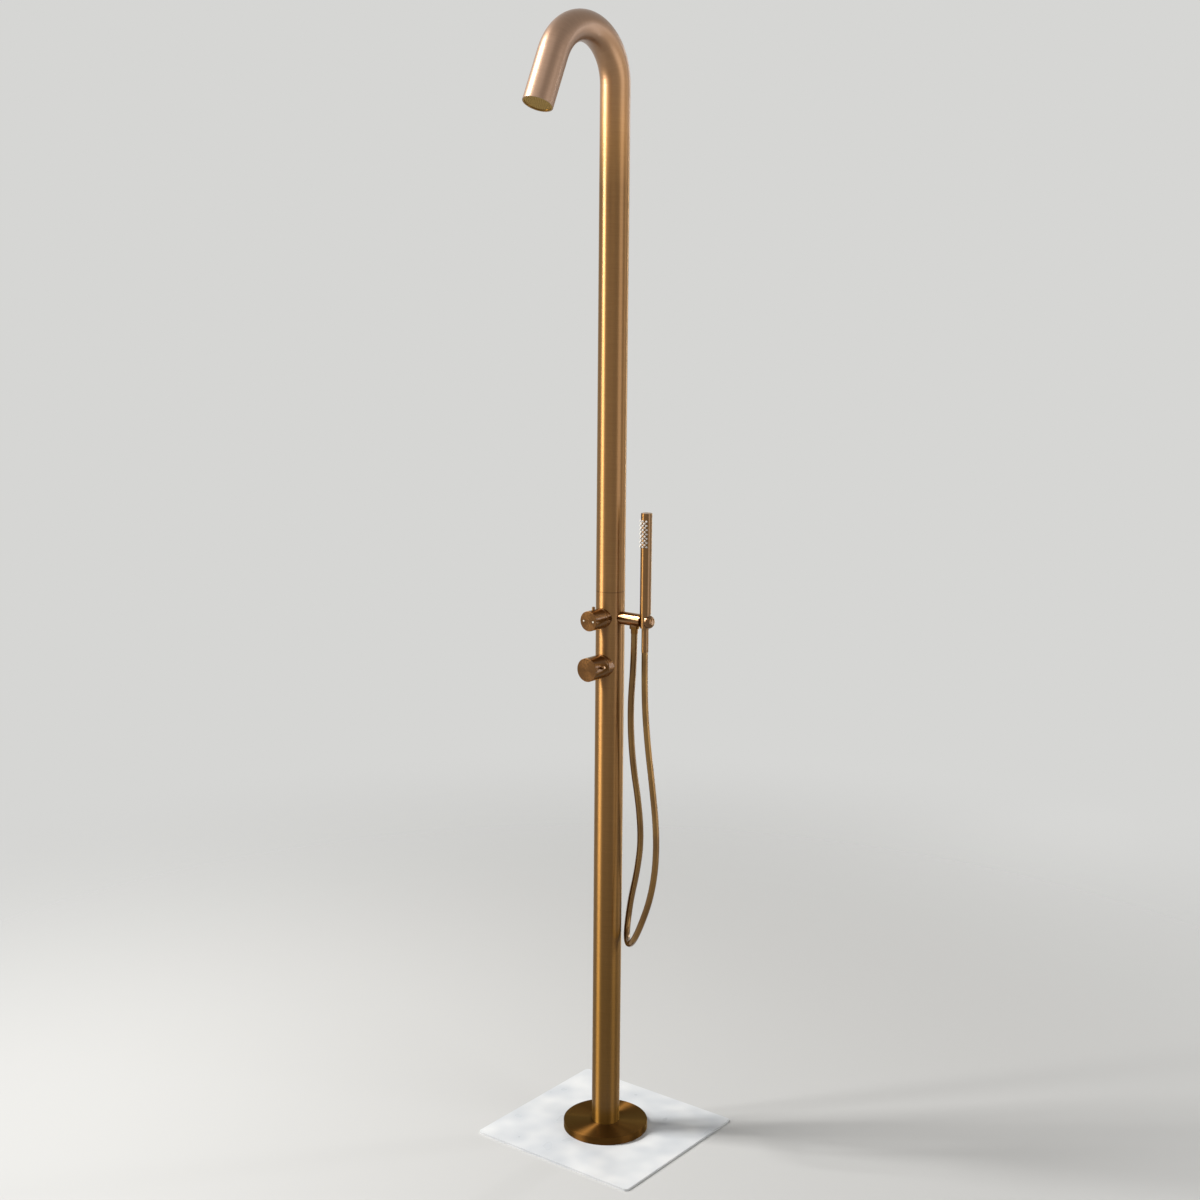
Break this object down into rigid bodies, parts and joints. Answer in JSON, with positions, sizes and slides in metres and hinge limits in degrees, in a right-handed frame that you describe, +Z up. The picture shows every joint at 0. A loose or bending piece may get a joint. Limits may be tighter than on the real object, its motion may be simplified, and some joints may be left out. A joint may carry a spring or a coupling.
{
  "type": "outdoor shower",
  "caption": "Free-standing outdoor shower: round column on a flat plate, gooseneck spray, side arm with stick handset on a hose, and front controls with pin levers.",
  "frame": {"origin": "on the column's axis at the underside of the ground plate, in the middle of the plate's supply opening", "axes": "+Z up the column; -Y the way the controls and the gooseneck's mouth face; +X the way the arm with the handset points"},
  "size_m": [0.4, 0.458, 2.3289],
  "materials": {
    "bronze": "brushed copper-bronze coating",
    "spray_bronze": "satin, perforated",
    "hose_sheath": "smooth satin bronze-coloured sheath",
    "plate_paint": "semi-gloss pale grey",
    "stainless": "plain",
    "raw_brass": "machined",
    "black_rubber": "matte",
    "cream_silicone": "soft satin",
    "grey_plastic": "moulded"
  },
  "bodies": {
    "column": {"column_tube": "bronze", "gooseneck_tube": "bronze", "flange_cover": "bronze", "outlet_arm": "bronze", "handset_cradle": "bronze", "mixer_boss": "bronze", "diverter_boss": "bronze", "hose_nut": "bronze", "hose_ferrule": "bronze", "spray_ring": "bronze", "spray_face": "spray_bronze", "shower_hose": "hose_sheath", "ground_plate": "plate_paint", "foot_flange": "stainless", "foot_bolts": "stainless", "foot_washers": "stainless", "joint_sleeve": "stainless", "joint_screws": "stainless", "cold_supply_pipe": "stainless", "hot_supply_pipe": "stainless", "link_pipe": "stainless", "riser_pipe": "stainless", "inlet_block": "raw_brass", "cold_check_valve": "raw_brass", "hot_check_valve": "raw_brass", "mixer_body": "raw_brass", "diverter_body": "raw_brass", "mixer_cartridge_nut": "raw_brass", "diverter_cartridge_nut": "raw_brass", "spray_distributor": "raw_brass", "base_gasket": "black_rubber", "cover_seal": "black_rubber", "mixer_cartridge_seal": "black_rubber", "diverter_cartridge_seal": "black_rubber", "pipe_seals": "black_rubber", "spray_seal": "black_rubber", "arm_seal": "black_rubber", "hose_washer": "black_rubber", "mixer_cartridge": "grey_plastic", "diverter_cartridge": "grey_plastic", "pipe_spacers": "grey_plastic", "riser_spacers": "grey_plastic"},
    "mixer_control": {"mixer_spindle": "raw_brass", "mixer_knob": "bronze", "mixer_lever": "bronze", "mixer_grub_screw": "stainless"},
    "diverter_control": {"diverter_spindle": "raw_brass", "diverter_knob": "bronze", "diverter_lever": "bronze", "diverter_grub_screw": "stainless"},
    "hose_end": {"swivel_insert": "bronze"},
    "handset": {"hose_connector": "bronze", "connector_washer": "black_rubber", "handset_inlet": "bronze", "handset_seal": "black_rubber", "handset_tube": "bronze", "handset_cap": "bronze", "handset_core": "grey_plastic", "nozzle_strip": "cream_silicone"}
  },
  "joints": [
    {"name": "mixer_turn", "type": "hinge", "parent": "column", "child": "mixer_control", "pos_m": [0, -0.05, 1.04], "axis": [0, -1, 0], "range_deg": [0, 100]},
    {"name": "diverter_turn", "type": "hinge", "parent": "column", "child": "diverter_control", "pos_m": [0, -0.05, 1.141], "axis": [0, -1, 0], "range_deg": [-45, 45]},
    {"name": "handset_lift", "type": "slide", "parent": "column", "child": "hose_end", "axis": [0, 0, 1], "range_m": [0, 0.03], "deforming": ["shower_hose"]},
    {"name": "handset_turn", "type": "hinge", "parent": "hose_end", "child": "handset", "pos_m": [0.09, -0.001, 1.14], "axis": [0, 0, 1], "continuous": true}
  ]
}
